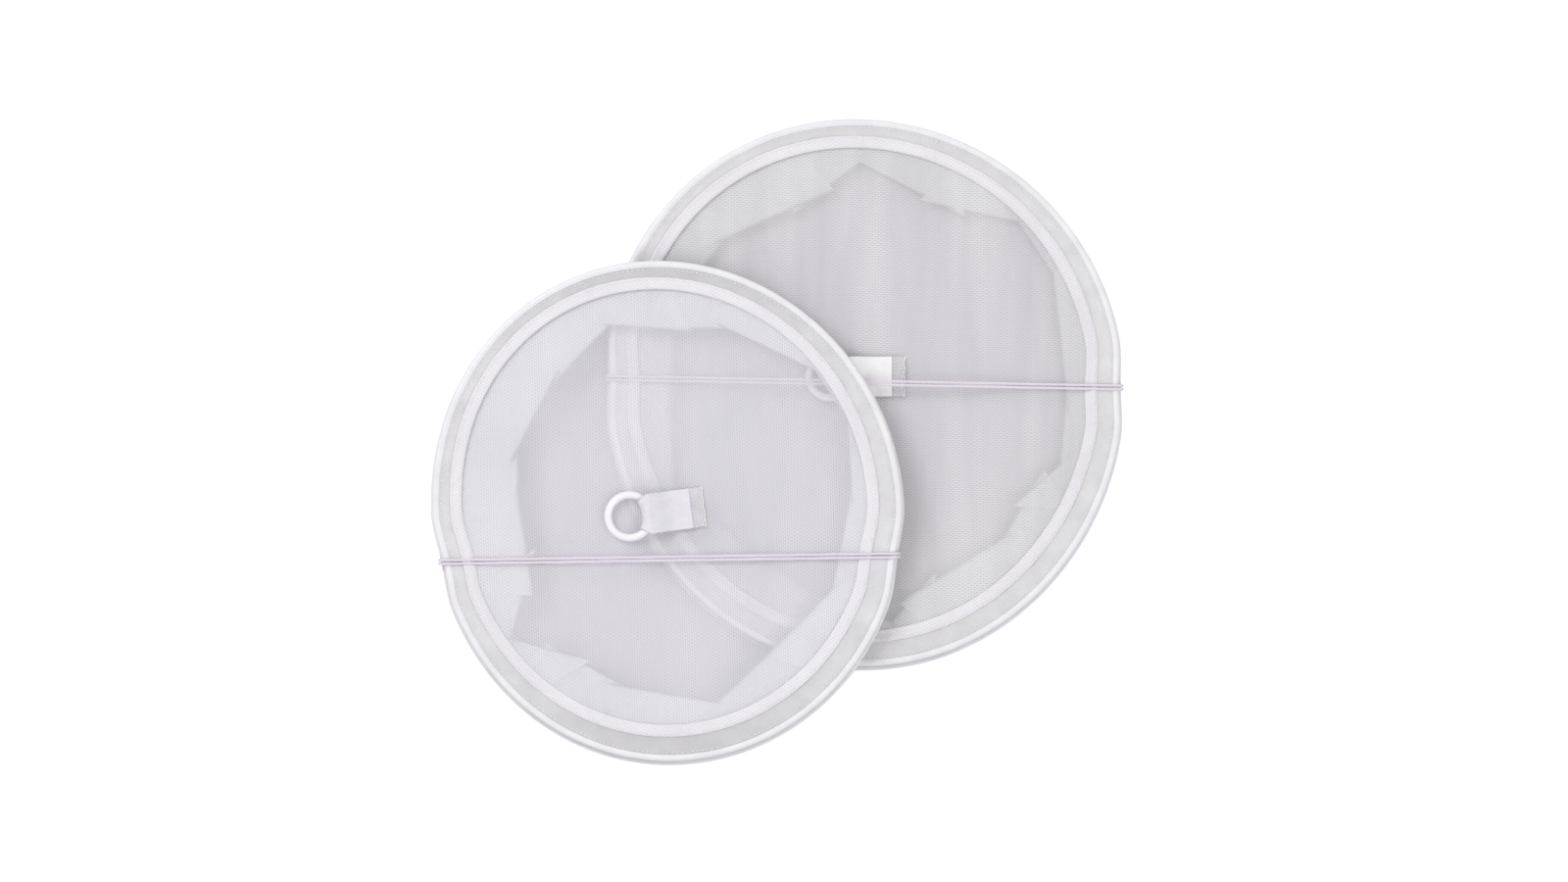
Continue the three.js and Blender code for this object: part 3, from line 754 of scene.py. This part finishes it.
def make_net(cover, line, body, finishes):
    """The mesh top: one slack sheet with soft puckers and small gathers at its hem."""
    angles = round_angles()
    points = []
    deepest = line.radius * NET_CENTRE_REACH
    for i in range(NET_RINGS):
        share = i / (NET_RINGS - 1)
        inward = NET_SHEET_EDGE + (deepest - NET_SHEET_EDGE) * share ** NET_RING_POWER
        p = line.beside(angles, inward, NET_LEVEL)
        gather = GATHER_HEIGHT * np.sin(96 * angles + 2 * np.sin(7 * angles))
        gather = gather * smooth(GATHER_END, GATHER_FULL, inward)
        p[:, 2] += gather * smooth(GATHER_START, GATHER_FULL, inward)
        p[:, 2] -= sag_at(cover, line, p)
        p[:, 2] += pucker(cover, line, p)
        points.append(p)
    grid = np.stack(points)
    faces = grid_faces(NET_RINGS, HOOP_STEPS, False, True)
    last, centre_index = (NET_RINGS - 1) * HOOP_STEPS, NET_RINGS * HOOP_STEPS
    faces.extend((last + j, last + (j + 1) % HOOP_STEPS, centre_index) for j in range(HOOP_STEPS))
    centre = grid[-1].mean(axis=0)
    vertices = np.concatenate([grid.reshape(-1, 3), centre[None]])
    obj = make_object(f"{cover.name}_net_sheet", vertices, faces, getattr(finishes, f"{cover.name}_net"))
    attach(obj, body)
    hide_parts(f"{cover.name}_top_net")
    return obj


def hem_lift(inward):
    """The hem's middle height: on the tape's tail, then down on the mesh."""
    on_tail, on_net = TOP_SLOT + TAPE_THICKNESS + HEM_SEAT, NET_LEVEL + HEM_NET_SEAT
    return on_tail + (on_net - on_tail) * smooth(HEM_DROP_START, HEM_DROP_END, inward)


def make_hem(cover, line, body, finishes):
    """The mesh top's doubled edge, sewn on over the tape's tail."""
    angles = round_angles()
    rows = []
    shares = np.linspace(0, 1, HEM_COLUMNS)
    for side in (1, -1):
        for share in shares if side > 0 else shares[::-1]:
            inward = BEAD_RADIUS + strip_width(cover, angles) + HEM_WIDTH * share
            crown = HEM_THICKNESS / 2 * math.sqrt(max(HEM_EDGE_SHARE, 1 - (2 * share - 1) ** 4))
            wave = HEM_WAVE * np.sin(61 * angles + 5 * share) + HEM_FINE_WAVE * np.sin(147 * angles)
            p = line.beside(angles, inward, hem_lift(inward) + wave + side * crown)
            p[:, 2] -= sag_at(cover, line, p)
            rows.append(p)
    obj = closed_sweep(f"{cover.name}_net_hem", np.stack(rows, axis=1), finishes.hem)
    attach(obj, body)
    return obj


def make_hem_seam(cover, line, body, finishes):
    """The seam on the hem's upper face that holds it on the tape."""
    angles = seam_angles(line)
    depth = BEAD_RADIUS + strip_width(cover, angles) + HEM_SEAM
    level = hem_lift(depth) + HEM_THICKNESS / 2 - sag_at(cover, line, line.beside(angles, depth, 0))
    make_seam(cover, line, "hem", depth, level, finishes, body)


# The side wall, folded inwards in pleats, and the spring wire in it.

FLAP_COLUMNS = 14
FLAP_ROWS = 9
FLAP_LAP = 0.016
FLAP_STEP = 0.00045
FLAP_WAVE = 0.0002
FLAP_FIRST_STEP = 0.2
FLAP_CURVE_POWER = 1.6
WALL_EDGE = 0.0055
WALL_BEND = 0.0135
DRUM_STEPS = 240
DRUM_ROWS = 9
DRUM_EDGE = WALL_EDGE + 0.0012
DRUM_FLANGE = 0.004
DRUM_INSET = 0.0006
DRUM_GATHER = 0.0002


def flap_corners(cover, number):
    """The two corners of a pleat's fold: their points from the cover's middle, and their directions."""
    turns = np.radians(cover.fold_directions)
    reach = np.array(cover.fold_shares) * cover.radius
    points = np.stack([reach * np.cos(turns), reach * np.sin(turns)], axis=-1)
    after = (number + 1) % len(turns)
    turn_a, turn_b = turns[number], turns[after]
    if turn_b < turn_a:
        turn_b += TURN
    return points[number], points[after], turn_a, turn_b


def flap_level(cover, base, top, number):
    """A fold's height. Pleats lie over and under by turns; the last of an odd number lies between."""
    count = len(cover.fold_shares)
    raised = FLAP_STEP * (1 if number % 2 else -1)
    if count % 2 and number == count - 1:
        raised = 0.0
    return (base.z + top.z + WALL_TOP_LEVEL) / 2 + raised


def flap_column(base, top, angle, fold, wave):
    """One line of a pleat's points, in to the fold and back out."""
    column = []
    for line, level in ((base, 0.0), (top, WALL_TOP_LEVEL)):
        edge, bend = (line.beside(angle, inward, level) for inward in (WALL_EDGE, WALL_BEND))
        rows = [edge, bend]
        for step in np.linspace(FLAP_FIRST_STEP, 1.0, FLAP_ROWS):
            p = bend + (fold - bend) * step
            rise = (fold[2] - bend[2]) * step ** FLAP_CURVE_POWER
            p[2] = bend[2] + rise + wave * math.sin(math.pi * step)
            rows.append(p)
        column.extend(rows if line is base else rows[-2::-1])
    return column


def make_flap(cover, base, top, number, body, finishes):
    """One pleat: a sheet from the base hoop in to a straight fold and back out to the top hoop."""
    first, second, turn_a, turn_b = flap_corners(cover, number)
    lap = FLAP_LAP / np.linalg.norm(second - first)
    level = flap_level(cover, base, top, number)
    columns = []
    for share in np.linspace(-lap, 1 + lap, FLAP_COLUMNS):
        x, y = base.centre + (first + (second - first) * share)
        angle = turn_a + (turn_b - turn_a) * np.clip(share, 0, 1)
        wave = FLAP_WAVE * math.sin(9 * share + number + cover.seed)
        columns.append(flap_column(base, top, angle, np.array([x, y, level]), wave))
    grid = np.array(columns)
    faces = grid_faces(*grid.shape[:2], False, False)
    obj = make_object(f"{cover.name}_wall_flap_{number + 1:02d}", grid, faces, finishes.wall)
    middle = (turn_a + turn_b) / 2
    rim = base.beside(middle, WALL_EDGE, 0)
    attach(obj, body)
    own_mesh(obj)


def make_drum(cover, base, top, finishes):
    """The wall's outer edge, which draws out into the upright side wall when the cover opens."""
    angles = round_angles(DRUM_STEPS)
    rows = []
    upright = [(0, share) for share in np.linspace(0, 1, DRUM_ROWS)]
    bottom, ceiling = base.z + DRUM_INSET, top.z + WALL_TOP_LEVEL - DRUM_INSET
    for flange, share in [(1, 0), (0.5, 0), *upright, (0.5, 1), (1, 1)]:
        inward = DRUM_EDGE + DRUM_FLANGE * flange
        gather = DRUM_GATHER * np.sin(120 * angles + 4 * share)
        p = base.beside(angles, inward, 0) * (1 - share) + top.beside(angles, inward, 0) * share
        p[:, 2] = bottom + (ceiling - bottom) * share
        p[:, 0] += gather * np.cos(angles)
        p[:, 1] += gather * np.sin(angles)
        rows.append(p)
    grid = np.stack(rows)
    faces = grid_faces(*grid.shape[:2], False, True)
    obj = make_object(f"{cover.name}_wall_drum", grid, faces, finishes.drum)
    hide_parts(f"{cover.name}_side_wall")
    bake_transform(obj)


SPRING_RADIUS = 0.00075
SPRING_TURNS = 1.25
SPRING_START = math.radians(240)
SPRING_EDGE = 0.006
SPRING_PITCH = 0.0024
SPRING_SEAT = 0.0026
SPRING_SIDES = 10
SPRING_BOWS = 15
SPRING_BOW_STEPS = 24


def spring_ring(base, top, share, turns):
    """The spring wire's outline at a share of its length, and its middle."""
    angle = SPRING_START + SPRING_TURNS * TURN * share
    inward = SPRING_EDGE + SPRING_PITCH * SPRING_TURNS * share
    rise = base.z + SPRING_SEAT + (top.z - base.z - 2 * SPRING_SEAT) * share

    def at(away, up):
        low, high = (line.beside(angle, inward + away, 0) for line in (base, top))
        p = low * (1 - share) + high * share
        p[2] = rise + up
        return p

    ring = [at(SPRING_RADIUS * math.cos(turn), SPRING_RADIUS * math.sin(turn)) for turn in turns]
    return ring, at(0, 0)


def make_spring(cover, base, top, finishes):
    """The wire that winds up the wall, in bows."""
    turns = round_angles(SPRING_SIDES)
    for number in range(SPRING_BOWS):
        first, last = number / SPRING_BOWS, (number + 1) / SPRING_BOWS
        rings, middles = zip(*(spring_ring(base, top, share, turns)
                               for share in np.linspace(first, last, SPRING_BOW_STEPS + 1)))
        obj = closed_sweep(f"{cover.name}_spring_wire_{number + 1:02d}", np.array(rings), finishes.steel,
                           caps=True)
        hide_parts(f"{cover.name}_wall_spring")
        chord = middles[-1] - middles[0]
        chord[2] = 0
        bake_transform(obj)


# The elastic band: one closed strand taken twice round the folded cover.

BAND_SECTION = 18
BAND_END_STEPS = 20
BAND_TWIST_STEPS = 24
BAND_TOP_STEPS = 24
BAND_END_POWER = 0.77
BAND_GROOVE_SHARE = 0.42
BAND_GROOVE_WIDTH = 0.25


def signed_power(value, power):
    """A power that keeps the sign, which squares off a circle's section."""
    return math.copysign(abs(value) ** power, value)


def band_lap(length):
    """One lap's middle line in its upright plane: reach, height and the share of the twist done."""
    low, high = BAND_THICKNESS / 2, FOLDED_HEIGHT - BAND_THICKNESS / 2
    middle = (low + high) / 2
    lap = []

    def end(x, side):
        for i in range(BAND_END_STEPS + 1):
            turn = side * (math.pi / 2 - math.pi * i / BAND_END_STEPS)
            out, rise = (signed_power(value, BAND_END_POWER) for value in (math.cos(turn), math.sin(turn)))
            lap.append((x + side * abs(out) * BAND_END_REACH, middle + rise * (middle - low),
                        0 if side > 0 else 1))

    end(length / 2, 1)
    for i in range(BAND_TWIST_STEPS + 1):
        share = i / BAND_TWIST_STEPS
        rise = BAND_TWIST_RISE * math.sin(math.pi * share)
        lap.append((BAND_TWIST_PLACE + BAND_TWIST_LENGTH * (0.5 - share), low + rise, share))
    end(-length / 2, -1)
    for i in range(1, BAND_TOP_STEPS):
        lap.append((length * (i / BAND_TOP_STEPS - 0.5), high, 1))
    return lap


def band_path(cover, middle, along, across, length):
    """The strand's middle line through both laps, whose places change over under the cover."""
    path = []
    for lap_number in range(2):
        for reach, up, share in band_lap(length):
            twist = math.pi * (lap_number + share)
            p = middle + along * reach + across * BAND_SPREAD * math.cos(twist)
            p[2] = cover.z + up + BAND_TWIST_RISE * math.sin(twist) * math.sin(math.pi * share)
            path.append(p)
    return np.array(path)


def make_band(cover, base, body, finishes):
    """The doubled band, with a groove along each lap."""
    ends = [base.beside(angle, 0, 0) for angle in base.pinches]
    along = ends[0] - ends[1]
    along[2] = 0
    length = np.linalg.norm(along)
    along = along / length
    across = np.cross(UPWARD, along)
    path = band_path(cover, (ends[0] + ends[1]) / 2, along, across, length)
    ahead = np.roll(path, -1, axis=0) - np.roll(path, 1, axis=0)
    rings = []
    for p, forward in zip(path, ahead):
        up = unit(np.cross(forward, across))
        ring = []
        for turn in round_angles(BAND_SECTION):
            groove = 1 - BAND_GROOVE_SHARE * math.exp(-((math.cos(turn) / BAND_GROOVE_WIDTH) ** 2))
            side = across * BAND_WIDTH / 2 * math.cos(turn)
            ring.append(p + side + up * BAND_THICKNESS / 2 * math.sin(turn) * groove)
        rings.append(ring)
    obj = closed_sweep(f"{cover.name}_band_strand", np.array(rings), finishes.elastic)
    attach(obj, body)
    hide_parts(f"{cover.name}_elastic_band")


# The pull tab: a sewn foot, a doubled ribbon and a moulded ring.

RIBBON_SHEET = 0.00042
RIBBON_COLUMNS = 30
LOW_STEPS, LOOP_STEPS, SLOPE_STEPS, TOP_STEPS = 34, 42, 22, 16
RIBBON_NECK_WIDTH, RIBBON_NECK_START, RIBBON_NECK_END = 0.0175, 0.0262, 0.0312
FOOT_GAP = 0.00008
LOOP_TURN_SHARE = 0.6
SLOPE_LENGTH, SLOPE_FIRST_STEP = 0.0165, 0.05
PATH_GAP_LOW, PATH_GAP_TOP = 0.002, 0.0006
CREASE_PLACES = (0.2, -0.31)
CREASE_LEAN, CREASE_WIDTH, CREASE_DEPTH = 0.1, 0.02, 0.0003
NECK_WAVE, SOFT_WAVE = 0.00022, 0.00012
NECK_BEND_REACH, NECK_BEND_SHARE = 0.0085, 0.75
SELVEDGE_RISE = 0.00006
SEWN_LENGTH = 0.004
TOP_LAYER_GAP = 0.00004
FOOT_POINTS, FOOT_SQUARENESS = 28, 0.35
FOOT_INSET, FOOT_DIP = 0.0001, 0.00006
FOOT_END_REACH, FOOT_END_RISE = 0.992, 0.6
FOOT_SEAMS = {"inner": -0.0016, "outer": 0.0013 - FOOT_LENGTH}
FOOT_STITCHES, FOOT_SEAM_SHARE = 11, 0.92
FOOT_STITCH_LENGTH, FOOT_STITCH_RADIUS, FOOT_STITCH_LIFT = 0.0018, 0.00026, 0.00002
THREAD_STEPS, THREAD_SIDES = 60, 10
THREAD_RADIUS, THREAD_SWELL = 0.00034, 0.00008
THREAD_GAP, THREAD_WANDER, THREAD_RISE = 0.00035, 0.0002, 0.00016
THREAD_LEVEL, THREAD_LENGTH = 0.6 * RIBBON_THICKNESS, 1.02 * RIBBON_WIDTH
RING_STEPS, RING_SIDES = 128, 40
RING_BODY_SHARE = 0.985
PARTING_HEIGHT, PARTING_WIDTH = 0.00005, 0.06


def tab_frame(cover):
    """The tab's own frame: its hinge seam, the way it points and the way across it."""
    along = np.array([math.cos(cover.tab_turn), math.sin(cover.tab_turn), 0])
    across = np.cross(UPWARD, along)
    half = (RIBBON_LENGTH + FOOT_LENGTH) / 2
    start = np.array([*np.add(cover.centre, cover.tab_middle), 0])
    start = start + along * (FOOT_LENGTH - half)
    start[2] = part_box(f"{cover.name}_tab_foot")[0].z
    return SimpleNamespace(start=start, along=along, across=across)


def in_tab(place, along, across, up):
    """A point of the tab from its distances along, across and up."""
    return place.start + place.along * along + place.across * across + UPWARD * up


def ribbon_path():
    """The doubled ribbon's middle line as along and up: out under the ring, round it and back on top."""
    centre = (RIBBON_LENGTH - RING_RADIUS + LOOP_REACH, LOOP_HEIGHT / 2 + LOOP_WALL)
    wide, high = LOOP_WIDTH / 2 + LOOP_WALL / 2, LOOP_HEIGHT / 2 + LOOP_WALL / 2
    low, top = RIBBON_SHEET / 2, RIBBON_THICKNESS - RIBBON_SHEET / 2
    path = [(x, low) for x in np.linspace(0, centre[0] - PATH_GAP_LOW, LOW_STEPS)]
    turns = np.linspace(-math.pi / 2, math.pi * LOOP_TURN_SHARE, LOOP_STEPS)
    path += [(centre[0] + wide * math.cos(t), centre[1] + high * math.sin(t)) for t in turns]
    x, z = path[-1]
    join = x - SLOPE_LENGTH
    for share in np.linspace(SLOPE_FIRST_STEP, 1, SLOPE_STEPS):
        path.append((x + (join - x) * share, z + (top - z) * smooth(-0.12, 1, share)))
    path += [(u, top) for u in np.linspace(join - PATH_GAP_TOP, 0, TOP_STEPS)]
    return np.array(path)


def ribbon_lift(cover, along, share, neck):
    """How far the ribbon's upper layer is raised by its waves, creases and selvedge."""
    crease = sum(math.exp(-(((share - spot - CREASE_LEAN * along / RIBBON_LENGTH) / CREASE_WIDTH) ** 2))
                 for spot in CREASE_PLACES)
    wave = NECK_WAVE * math.sin(31 * share + 150 * along + cover.seed) * neck
    soft = SOFT_WAVE * math.sin(9 * share + 420 * along + cover.seed)
    edge = SELVEDGE_RISE * smooth(0.46, 0.49, abs(share))
    return min(1, along / SEWN_LENGTH) * (soft + wave - CREASE_DEPTH * crease + edge) + TOP_LAYER_GAP


def make_ribbon(cover, place, finishes):
    """The ribbon as one sheet with its creases, raised edges and gathered neck."""
    path = ribbon_path()
    rows = []
    for along, up in path:
        neck = smooth(RIBBON_NECK_START, RIBBON_NECK_END, along)
        width = RIBBON_WIDTH + (RIBBON_NECK_WIDTH - RIBBON_WIDTH) * neck
        row = []
        for k in range(RIBBON_COLUMNS):
            share = k / (RIBBON_COLUMNS - 1) - 0.5
            side = share * width
            lift = ribbon_lift(cover, along, share, neck) if up > RIBBON_THICKNESS * 0.5 else 0
            reach = min(abs(side), NECK_BEND_REACH)
            bend = (RING_RADIUS - math.sqrt(RING_RADIUS ** 2 - reach ** 2)) * neck * NECK_BEND_SHARE
            row.append(in_tab(place, along + bend, side, up + lift))
        rows.append(row)
    grid = np.array(rows)
    faces = grid_faces(*grid.shape[:2], False, False)
    obj = make_object(f"{cover.name}_ribbon", grid, faces, getattr(finishes, f"{cover.name}_ribbon"))
    thick = obj.modifiers.new("thickness", "SOLIDIFY")
    thick.thickness = RIBBON_SHEET
    thick.offset = 0
    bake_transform(obj)
    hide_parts(f"{cover.name}_tab_ribbon")


def make_foot(cover, place, body, finishes):
    """The ribbon's end sewn flat to the mesh top by two seams, with a frayed edge thread."""
    profile = [(signed_power(math.cos(t), FOOT_SQUARENESS), signed_power(math.sin(t), FOOT_SQUARENESS))
               for t in round_angles(FOOT_POINTS)]
    half = (FOOT_LENGTH - FOOT_GAP) / 2
    rows = []
    for k in range(RIBBON_COLUMNS):
        share = k / (RIBBON_COLUMNS - 1) - 0.5
        at_end = k in (0, RIBBON_COLUMNS - 1)
        reach = half * (FOOT_END_REACH if at_end else 1)
        rise = (RIBBON_THICKNESS / 2 - FOOT_INSET) * (FOOT_END_RISE if at_end else 1)
        middle = RIBBON_THICKNESS / 2 + FOOT_DIP * math.sin(40 * share + cover.seed)
        rows.append([in_tab(place, -FOOT_GAP - half + reach * x, share * RIBBON_WIDTH, middle + rise * z)
                     for x, z in profile])
    obj = closed_sweep(f"{cover.name}_sewn_foot", np.array(rows), finishes.foot, caps=True)
    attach(obj, body)
    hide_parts(f"{cover.name}_tab_foot")
    sides = np.linspace(-0.5, 0.5, FOOT_STITCHES) * RIBBON_WIDTH * FOOT_SEAM_SHARE
    for label, along in FOOT_SEAMS.items():
        points = [in_tab(place, along, side, RIBBON_THICKNESS + FOOT_STITCH_LIFT) for side in sides]
        make_stitches(f"{cover.name}_foot_{label}_stitches", points, [place.across] * FOOT_STITCHES,
                      FOOT_STITCH_LENGTH, FOOT_STITCH_RADIUS, finishes.thread, body)
    make_raw_edge(cover, place, body, finishes)


def make_raw_edge(cover, place, body, finishes):
    """The frayed thread along the cut end of the ribbon."""
    rings = []
    for i in range(THREAD_STEPS + 1):
        share = i / THREAD_STEPS - 0.5
        along = -FOOT_LENGTH - THREAD_GAP + THREAD_WANDER * math.sin(23 * share + cover.seed)
        up = THREAD_LEVEL + THREAD_RISE * math.sin(41 * share)
        centre = in_tab(place, along, share * THREAD_LENGTH, up)
        size = THREAD_RADIUS + THREAD_SWELL * math.sin(57 * share + 1)
        rings.append([centre + place.along * size * math.cos(t) + UPWARD * size * math.sin(t)
                      for t in round_angles(THREAD_SIDES)])
    obj = closed_sweep(f"{cover.name}_raw_edge_thread", np.array(rings), finishes.raw_thread, caps=True)
    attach(obj, body)


def make_ring(cover, place, body, finishes):
    """The moulded ring: a round section with a faint parting line."""
    centre = in_tab(place, RIBBON_LENGTH, 0, RING_LEVEL)
    rings = []
    for turn in round_angles(RING_STEPS):
        out = place.along * math.cos(turn) + place.across * math.sin(turn)
        ring = []
        for roll in round_angles(RING_SIDES):
            line = PARTING_HEIGHT * math.exp(-((math.sin(roll) / PARTING_WIDTH) ** 2))
            size = RING_SECTION * RING_BODY_SHARE + line
            reach = RING_RADIUS + size * math.cos(roll)
            ring.append(centre + out * reach + UPWARD * size * math.sin(roll))
        rings.append(ring)
    obj = closed_sweep(f"{cover.name}_ring_moulding", np.array(rings), finishes.ring)
    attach(obj, body)
    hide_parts(f"{cover.name}_pull_ring")


def finish_nodes(cover, finishes):
    """The inner steel keeps its solids and gets its own finish."""
    for label in ("base_wire", "base_ferrule", "top_wire", "top_ferrule"):
        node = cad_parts[f"{cover.name}_{label}"]
        node.data.materials.clear()
        node.data.materials.append(finishes.steel)


def make_cover(cover, finishes):
    """All the visible pieces of one cover."""
    base, top = base_hoop(cover), top_hoop(cover)
    base_body, top_body = f"{cover.name}_base", f"{cover.name}_top"
    finish_nodes(cover, finishes)
    make_sleeve(cover, base, BASE_SLOT, "base", base_body, finishes)
    make_sleeve(cover, top, TOP_SLOT, "top", top_body, finishes)
    net = make_net(cover, top, top_body, finishes)
    hem = make_hem(cover, top, top_body, finishes)
    make_hem_seam(cover, top, top_body, finishes)
    for label, line, slot, body in (("top", top, TOP_SLOT, top_body), ("base", base, BASE_SLOT, base_body)):
        level = slot + TAPE_THICKNESS + SEAM_LIFT
        make_seam(cover, line, f"{label}_bead", BEAD_SEAM, level, finishes, body)
    for number in range(len(cover.fold_shares)):
        make_flap(cover, base, top, number, base_body, finishes)
    make_drum(cover, base, top, finishes)
    make_spring(cover, base, top, finishes)
    make_band(cover, base, f"{cover.name}_band", finishes)
    place = tab_frame(cover)
    make_foot(cover, place, top_body, finishes)
    make_ribbon(cover, place, finishes)
    make_ring(cover, place, f"{cover.name}_ring", finishes)


make_stage()
all_finishes = make_materials()
make_cover(LARGE, all_finishes)
make_cover(SMALL, all_finishes)
